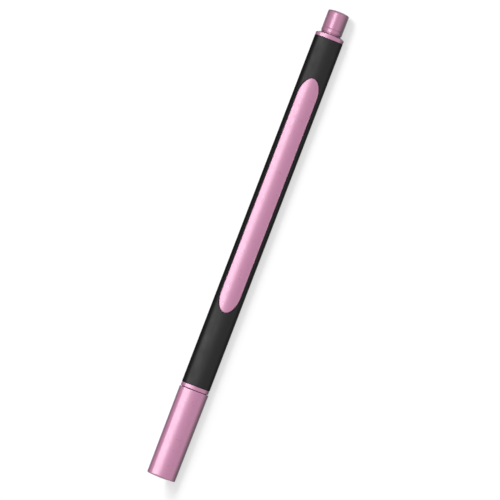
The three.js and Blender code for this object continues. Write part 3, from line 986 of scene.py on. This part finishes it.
@dataclass
class BarrelAssembly(Assembly):
    """Barrel: pink core with its raised oval field, black sleeve, end plug and sealing rings."""

    ring_sink: float = 0.05
    rear_step: float = 0.07
    window_setback: float = 24.5
    window_gap: float = 0.1
    field_proud: float = 0.12
    field_edge: float = 0.06
    sleeve_lip: float = 0.06
    sleeve_edge: float = 0.13
    front_edge: float = 0.16
    ring_edge: float = 0.07
    land_height: float = 0.13
    land_inset: float = 0.55
    plug_spigot: float = 8.0
    plug_hollow: float = 11.0
    plug_wall: float = 0.75
    neck_depth: float = 0.2
    groove_setback: float = 1.2
    groove_width: float = 0.2
    groove_depth: float = 0.09
    plug_fillet: float = 0.55
    plug_dome: float = 0.4

    def __post_init__(self) -> None:
        """Works out the window's oval and the front end of the plug's spigot."""
        super().__post_init__()
        self.window = WindowOval(self.section, self.lengths.sleeve_front + self.window_setback)
        self.plug_front = self.lengths.core_rear - self.plug_spigot

    def build(self) -> None:
        """Makes the barrel's pieces."""
        self.build_core()
        self.build_sleeve()
        self.build_plug()
        self.build_seal("plug_seal_ring", self.plug_front + self.fits.seal_setback)
        nose_rear = self.lengths.core_front + NoseAssembly.spigot
        self.build_seal("nose_seal_ring", nose_rear - self.fits.seal_setback - self.fits.seal_width)

    def build_core(self) -> None:
        """Makes the core: ringed tube with a hole in its skin at the window, and the raised field on it."""
        lengths = self.lengths
        front = lengths.core_front
        rear = lengths.core_rear
        deep = self.fits.core_offset
        bore = self.fits.bore
        collar_end = self.fits.seat + self.rear_step
        slope = (self.section.corner_reach - collar_end) / lengths.rear_chamfer
        land_front = front - self.land_height
        land_bore = self.fits.seat + self.fits.fixed
        tube = [
            faced(front, -self.ring_sink, self.front_edge),
            faced(lengths.sleeve_front, -self.ring_sink, self.ring_edge),
            faced(lengths.sleeve_front, deep), *self.window.stations(0.0, deep),
            faced(lengths.sleeve_rear, deep), faced(lengths.sleeve_rear, 0, Edge.CRISP),
            Station(lengths.band_end, slope, Edge.RIM, Form.CONE),
            *turned((rear, collar_end, Edge.RIM), (rear, bore, Edge.CRISP), (front, bore, Edge.CRISP),
                    (front, land_bore), (land_front, land_bore)),
            faced(land_front, -self.land_inset), faced(front, -self.land_inset),
        ]
        border = lip_profile(0.0, self.field_proud, self.field_edge, -1)
        core = Surface.joined(
            self.section.swept(tube, looped=True),
            self.window.lip([*border, (0.0, deep)]),
            self.window.plate(border[0][0], self.field_proud),
        )
        self.shop.piece("barrel_core", core, Body.BARREL, Slot.PINK)

    def build_sleeve(self) -> None:
        """Makes the soft sleeve: an outer and an inner skin with the window's hole, joined by its lip."""
        front = self.lengths.sleeve_front + self.fits.fixed
        rear = self.lengths.sleeve_rear - self.fits.fixed
        inner = -self.fits.sleeve
        border = lip_profile(self.window_gap, 0.0, self.sleeve_lip, 1)
        outside = [
            faced(front, inner), faced(front, 0, self.sleeve_edge), *self.window.stations(border[0][0], 0.0),
            faced(rear, 0, self.sleeve_edge), faced(rear, inner),
        ]
        inside = [faced(front, inner), *self.window.stations(self.window_gap, inner), faced(rear, inner)]
        sleeve = Surface.joined(
            self.section.swept(outside, looped=False),
            self.window.lip([*border, (self.window_gap, inner)]).reversed(),
            self.section.swept(inside, looped=False).reversed(),
        )
        self.shop.piece("soft_sleeve", sleeve, Body.BARREL, Slot.SOFT_BLACK)

    def build_plug(self) -> None:
        """Makes the end plug with its hollow spigot, neck, grooved stub and slight dome."""
        lengths = self.lengths
        spigot = self.fits.spigot
        seat = self.fits.seat
        front = self.plug_front
        hollow = spigot - self.plug_wall
        hollow_end = front + self.plug_hollow
        neck = seat - self.neck_depth
        neck_front = lengths.core_rear + self.fits.fixed
        groove = lengths.stub_front + self.groove_setback
        half = self.groove_width / 2
        shoulder = lengths.end - self.plug_dome
        plug = [
            *turned((hollow_end, 0), (hollow_end, hollow, Edge.DEEP), (front, hollow, Edge.PLAIN),
                    (front, spigot, Edge.SOFT)),
            *self.fits.seal_groove(front + self.fits.seal_setback, Edge.CRISP),
            *turned((neck_front, spigot), (neck_front, neck, Edge.CRISP), (lengths.stub_front, neck),
                    (lengths.stub_front, seat, Edge.RIM), (groove - half, seat, Edge.GROOVE),
                    (groove, seat - self.groove_depth, Edge.HAIR), (groove + half, seat, Edge.GROOVE),
                    (shoulder, seat, self.plug_fillet)),
            *dome(shoulder, lengths.end, seat)[::-1],
        ]
        self.shop.sweep("end_plug", plug, Body.BARREL, Slot.PINK)

    def build_seal(self, node: str, front: float) -> None:
        """Makes a sealing ring that fills its groove.

        Args:
            node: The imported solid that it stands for.
            front: Front wall of its groove.
        """
        fits = self.fits
        rear = front + fits.seal_width - fits.fixed
        inner = fits.spigot - fits.seal_depth + fits.fixed
        outer = fits.bore - fits.fixed / 2
        ring = plain_ring(front + fits.fixed, rear, inner, outer, Edge.RUBBER, Edge.PLAIN)
        self.shop.sweep(node, ring, Body.BARREL, Slot.RUBBER)


@dataclass
class NoseAssembly(Assembly):
    """Nose section with the tip's hole, the feed ring and the gasket."""

    spigot: float = 6.0
    seat_length: float = 10.0
    seat_step: float = 0.5
    groove_depth: float = 0.15
    groove_width: float = 0.8
    groove_setback: float = 2.4
    land_setback: float = 4.6
    land_length: float = 2.2
    rim: float = 0.5
    sponge: float = 0.59
    sponge_length: float = 4.4
    sponge_room: float = 0.6
    sponge_gap: float = 0.1
    gasket: float = 1.0

    def __post_init__(self) -> None:
        """Works out the front end of the feed ring, which keeps its room before the tip's carrier."""
        super().__post_init__()
        carrier_front = TipAssembly(self.shop).carrier_rear - TipAssembly.carrier
        self.sponge_front = carrier_front - self.sponge_room - self.sponge_length

    def build(self) -> None:
        """Makes the nose, the feed ring and the gasket."""
        fits = self.fits
        self.shop.sweep("nose_section", self.outline(), Body.BARREL, Slot.DARK_PLASTIC)
        sponge = plain_ring(self.sponge_front, self.sponge_front + self.sponge_length,
                            fits.tip_bore, fits.tip_bore + self.sponge)
        self.shop.sweep("feed_sponge", sponge, Body.BARREL, Slot.SPONGE)
        front = self.lengths.valve_shelf + fits.fixed
        gasket = plain_ring(front, front + self.gasket, fits.stem + fits.flow, fits.cage)
        self.shop.sweep("valve_gasket", gasket, Body.BARREL, Slot.RUBBER)

    def outline(self) -> list[Station]:
        """Outline of the nose.

        Returns:
            Stations from the tip's hole back along the outside and forwards inside.
        """
        fits = self.fits
        front = self.lengths.nose_front
        shelf = self.lengths.valve_shelf
        core_front = self.lengths.core_front
        land = front + self.land_setback
        seat_front = core_front - self.seat_length
        groove_rear = core_front - self.groove_setback
        groove_front = groove_rear - self.groove_width
        groove_floor = fits.seat - self.groove_depth
        shoulder = core_front - fits.fixed
        rear = core_front + self.spigot
        cavity = fits.tip_bore + self.sponge + fits.fixed
        cavity_front = self.sponge_front - self.sponge_gap
        return [
            *turned((front, fits.tip_bore + self.rim, Edge.FULL), (land, fits.land, Edge.DEEP),
                    (land + self.land_length, fits.land, Edge.DEEP),
                    (seat_front, fits.seat - self.seat_step, Edge.STEP),
                    (seat_front + self.seat_step, fits.seat, Edge.STEP),
                    (groove_front, fits.seat, Edge.CRISP),
                    (groove_front + self.groove_depth, groove_floor, Edge.CRISP),
                    (groove_rear - self.groove_depth, groove_floor, Edge.CRISP),
                    (groove_rear, fits.seat, Edge.CRISP), (shoulder, fits.seat, Edge.PLAIN),
                    (shoulder, fits.spigot)),
            *fits.seal_groove(rear - fits.seal_setback - fits.seal_width, Edge.GROOVE),
            *turned((rear, fits.spigot, Edge.SOFT), (rear, fits.valve_bore, Edge.PLAIN),
                    (shelf, fits.valve_bore), (shelf, cavity, Edge.CRISP), (cavity_front, cavity),
                    (cavity_front, fits.tip_bore), (front, fits.tip_bore, Edge.RIM)),
        ]


@dataclass
class TipAssembly(Assembly):
    """Writing tip, its carrier and the valve's stem, which are pressed back together."""

    protrusion: float = 4.2
    taper: float = 1.5
    point: float = 0.45
    point_steps: int = 8
    carrier: float = 3.4
    carrier_floor: float = 0.7
    head: float = 1.1
    head_gap: float = 0.2
    press_gap: float = 0.1
    cage: float = 15.0
    cage_floor: float = 1.0

    def __post_init__(self) -> None:
        """Works out the carrier's rear, short of the gasket when pressed, and places on the stem and cage."""
        super().__post_init__()
        shelf = self.lengths.valve_shelf
        self.carrier_rear = shelf - self.lengths.press_travel - self.press_gap
        self.seat_rear = shelf + self.fits.fixed + NoseAssembly.gasket + self.fits.fixed
        self.cage_rear = self.seat_rear + self.cage
        self.head_rear = self.seat_rear + self.head

    def build(self) -> None:
        """Makes the tip and the stem, and dresses the slotted carrier."""
        self.build_tip()
        self.build_stem()
        self.shop.dress("tip_carrier", Slot.NATURAL_PLASTIC)

    def build_tip(self) -> None:
        """Makes the tip: a rod that tapers to a point rounded through a quarter turn."""
        radius = self.fits.tip
        end = self.lengths.nose_front - self.protrusion
        rear = self.carrier_rear - self.carrier_floor - self.fits.fixed
        angle = np.linspace(0.0, math.pi / 2, self.point_steps + 1)[1:]
        bullet = [(end + self.point * (1 - math.cos(a)), self.point * math.sin(a)) for a in angle]
        tip = turned((end, 0), *bullet, (end + self.taper, radius, Edge.SHOULDER),
                     (rear, radius, Edge.PLAIN), (rear, 0))
        self.shop.sweep("writing_tip", tip, Body.TIP, Slot.FIBRE)

    def build_stem(self) -> None:
        """Makes the valve's stem with its sealing head."""
        stem = self.fits.stem
        head = self.fits.cage_bore - self.head_gap
        front = self.carrier_rear + self.fits.fixed
        rear = self.cage_rear - self.cage_floor / 2
        outline = turned(
            (front, 0), (front, stem, Edge.RING), (self.seat_rear, stem), (self.seat_rear, head, Edge.SOFT),
            (self.head_rear, head, Edge.SOFT), (self.head_rear, stem, Edge.RING),
            (rear, stem, Edge.SOFT), (rear, 0),
        )
        self.shop.sweep("valve_stem", outline, Body.TIP, Slot.NATURAL_PLASTIC)


@dataclass
class ValveAssembly(Assembly):
    """Valve spring in its slotted cage."""

    wire: float = 0.18
    curls: int = 10
    steps: int = 32
    sides: int = 12

    def build(self) -> None:
        """Makes the spring and dresses the cage."""
        tip = TipAssembly(self.shop)
        cage_inside = tip.cage_rear - tip.cage_floor
        start = tip.head_rear + self.fits.fixed + self.wire
        end = cage_inside - self.fits.fixed - self.wire
        spring = self.shop.piece("valve_spring", self.helix(start, end), Body.BARREL, Slot.SPRING)
        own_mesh(spring)
        self.shop.dress("valve_cage", Slot.NATURAL_PLASTIC)

    def helix(self, start: float, end: float) -> Surface:
        """The spring's wire: a circle carried along a helix, closed by a fan at each end.

        A centre lies at the rise times the angle along the axis, and at the coil's radius from it. Its
        circle lies in the plane of the outward direction and the one square to that and to the wire.

        Args:
            start: Place of the first centre.
            end: Place of the last centre.

        Returns:
            The surface.
        """
        direction = self.section.direction
        coil = (self.fits.stem + self.fits.cage_bore) / 2
        angle = np.linspace(0.0, 2 * math.pi * self.curls, self.curls * self.steps + 1)
        rise = (end - start) / angle[-1]
        outward = np.column_stack([np.zeros_like(angle), direction(angle)])
        along = np.column_stack([np.full_like(angle, rise), coil * direction(angle + math.pi / 2)])
        along /= np.linalg.norm(along, axis=1, keepdims=True)
        side = np.cross(along, outward)
        centre = outward * coil
        centre[:, 0] = start + rise * angle
        turn = np.linspace(0.0, 2 * math.pi, self.sides, endpoint=False)[None, :, None]
        circle = np.cos(turn) * outward[:, None, :] + np.sin(turn) * side[:, None, :]
        rows = centre[:, None, :] + self.wire * circle
        front, rear = (np.repeat(centre[[k], None, :], self.sides, axis=1) for k in (0, -1))
        return Surface.from_grid(np.concatenate([front, rows, rear]), wrapped=True)


@dataclass
class MixingBalls(Assembly):
    """Two steel balls that stir the pigment, lying on the bottom of the bore."""

    radius: float = 2.0
    segments: int = 48

    def build(self) -> None:
        """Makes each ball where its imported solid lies."""
        for node, body in (("mixing_ball_front", Body.FRONT_BALL), ("mixing_ball_rear", Body.REAR_BALL)):
            low, high = (np.array(corner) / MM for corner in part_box(node))
            self.shop.piece(node, self.ball(), body, Slot.BALL, (low + high) / 2 - self.shop.origin)

    def ball(self) -> Surface:
        """A sphere: the cosine of the angle from a pole along the X axis, its sine across, times the radius.

        Returns:
            The surface about its own centre.
        """
        polar = np.linspace(0.0, math.pi, self.segments // 2 + 1)[:, None]
        turn = np.linspace(0.0, 2 * math.pi, self.segments, endpoint=False)[None, :]
        points = np.stack([
            -np.cos(polar) + 0 * turn, -np.sin(polar) * np.sin(turn), np.sin(polar) * np.cos(turn),
        ], axis=-1)
        return Surface.from_grid(points * self.radius, wrapped=True)


@dataclass(frozen=True)
class Lamp:
    """A soft rectangular lamp that faces the marker.

    azimuth is in degrees round from the viewer's side towards +X, elevation in degrees above the floor,
    distance and size in metres, and power in watts.
    """

    name: str
    azimuth: float
    elevation: float
    distance: float
    size: Sequence[float]
    power: float


@dataclass
class Studio:
    """Pale floor, soft lamps and the camera at the photograph's viewing angle."""

    middle: Vector
    elevation: float = math.radians(29.5)
    lean: float = math.radians(21.0)
    distance_mm: float = 1500.0
    mm_per_pixel: float = 0.309
    frame_pixels: int = 500
    middle_pixel: Sequence[float] = (250.05, 244.84)
    clip_start: float = 0.01
    floor_half_size: float = 12.0
    floor_roughness: float = 0.9
    floor_colour: float = 0.09
    floor_bounce: float = 0.04
    floor_lift: float = 0.67
    sky: float = 0.24
    key: Lamp = Lamp("key_strip", -4, 57, 0.65, (0.45, 0.36), 3.45)
    fills: Sequence[Lamp] = (
        Lamp("fill_cap_end", 225, 18, 2.5, (1.5, 1.0), 34.0),
        Lamp("fill_plug_end", 135, 18, 2.5, (1.5, 1.0), 13.0),
    )
    shadow: Lamp = Lamp("floor_shadow", 130, 52, 2.0, (1.3, 1.3), 168.0)

    def build(self) -> None:
        """Makes the floor, the world, the camera and the lamps, of which one lights the floor alone."""
        floor = self.build_floor()
        self.build_world()
        self.build_camera()
        self.light(self.key)
        for lamp in self.fills:
            self.light(lamp).visible_glossy = False
        lit = bpy.data.collections.new("lit_floor")
        lit.objects.link(floor)
        self.light(self.shadow).light_linking.receiver_collection = lit

    def build_floor(self) -> bpy.types.Object:
        """Makes the white floor, which keeps the marker's shadow.

        Returns:
            The floor.
        """
        half = self.floor_half_size
        corners = [(-half, -half, 0), (half, -half, 0), (half, half, 0), (-half, half, 0)]
        mesh = bpy.data.meshes.new("floor")
        mesh.from_pydata(corners, [], [(0, 1, 2, 3)])
        mesh.materials.append(self.floor_material())
        floor = new_object("floor", mesh)
        return floor

    def floor_material(self) -> bpy.types.Material:
        """Makes a grey floor, lifted to white where the camera or a reflection sees it.

        Returns:
            The material.
        """
        board = NodeBoard("white_floor")
        path = board.add("LightPath")
        seen = path.outputs["Is Camera Ray"]
        for ray in ("Is Glossy Ray", "Is Transmission Ray"):
            either = board.add("Math")
            either.operation = "MAXIMUM"
            board.put(either.inputs[0], seen)
            board.put(either.inputs[1], path.outputs[ray])
            seen = either.outputs[0]
        board.set(Roughness=self.floor_roughness, Specular_IOR_Level=0.0, Emission_Color=(1, 1, 1, 1))
        board.set(Base_Color=board.mix(seen, (self.floor_bounce,) * 3, (self.floor_colour,) * 3))
        board.set(Emission_Strength=board.ramp(seen, 0.0, self.floor_lift, 0.0, 1.0))
        return board.material

    def build_world(self) -> None:
        """Makes an even, dim sky."""
        world = bpy.data.worlds.new("studio_sky")
        world.use_nodes = True
        bpy.context.scene.world = world
        background = world.node_tree.nodes["Background"]
        background.inputs["Color"].default_value = (1, 1, 1, 1)
        background.inputs["Strength"].default_value = self.sky

    def build_camera(self) -> None:
        """Makes the camera: square on to the window, rolled so that the pen leans as in the photograph."""
        back = Vector((0, -math.cos(self.elevation), math.sin(self.elevation)))
        rise = Vector((0, math.sin(self.elevation), math.cos(self.elevation)))
        along = Vector((1, 0, 0))
        right = math.sin(self.lean) * along - math.cos(self.lean) * rise
        up = math.cos(self.lean) * along + math.sin(self.lean) * rise
        centre = self.frame_pixels / 2
        shift_right = (centre - self.middle_pixel[0]) * self.mm_per_pixel * MM
        shift_up = (self.middle_pixel[1] - centre) * self.mm_per_pixel * MM
        target = self.middle + shift_right * right + shift_up * up
        camera = bpy.data.cameras.new("camera")
        camera.sensor_fit = "HORIZONTAL"
        camera.angle = 2 * math.atan(centre * self.mm_per_pixel / self.distance_mm)
        camera.clip_start = self.clip_start
        obj = new_object("camera", camera)
        turn = Matrix((right, up, back)).transposed()
        obj.matrix_world = Matrix.Translation(target + back * self.distance_mm * MM) @ turn.to_4x4()
        bpy.context.scene.camera = obj

    def light(self, lamp: Lamp) -> bpy.types.Object:
        """Puts a lamp in its place.

        Args:
            lamp: The lamp.

        Returns:
            Its object.
        """
        light = bpy.data.lights.new(lamp.name, "AREA")
        light.shape = "RECTANGLE"
        light.size, light.size_y = lamp.size
        light.energy = lamp.power
        a, e = math.radians(lamp.azimuth), math.radians(lamp.elevation)
        away = Vector((math.sin(a) * math.cos(e), -math.cos(a) * math.cos(e), math.sin(e)))
        obj = new_object(lamp.name, light)
        obj.location = self.middle + away * lamp.distance
        obj.rotation_mode = "QUATERNION"
        obj.rotation_quaternion = away.to_track_quat("Z", "Y")
        return obj


def main() -> None:
    """Builds the marker and its studio, and sets the Standard view transform."""
    logging.basicConfig(level=logging.INFO, format="%(name)s: %(message)s")
    section = BarrelSection()
    shop = Workshop(section, Lengths(), Fits(section), make_finishes())
    for assembly in (CapAssembly, BarrelAssembly, NoseAssembly, TipAssembly, ValveAssembly, MixingBalls):
        assembly(shop).build()
    middle = shop.origin + np.array([shop.lengths.end / 2, 0.0, 0.0])
    Studio(Vector((middle * MM).tolist())).build()
    bpy.context.scene.view_settings.view_transform = "Standard"


if __name__ == "__main__":
    main()
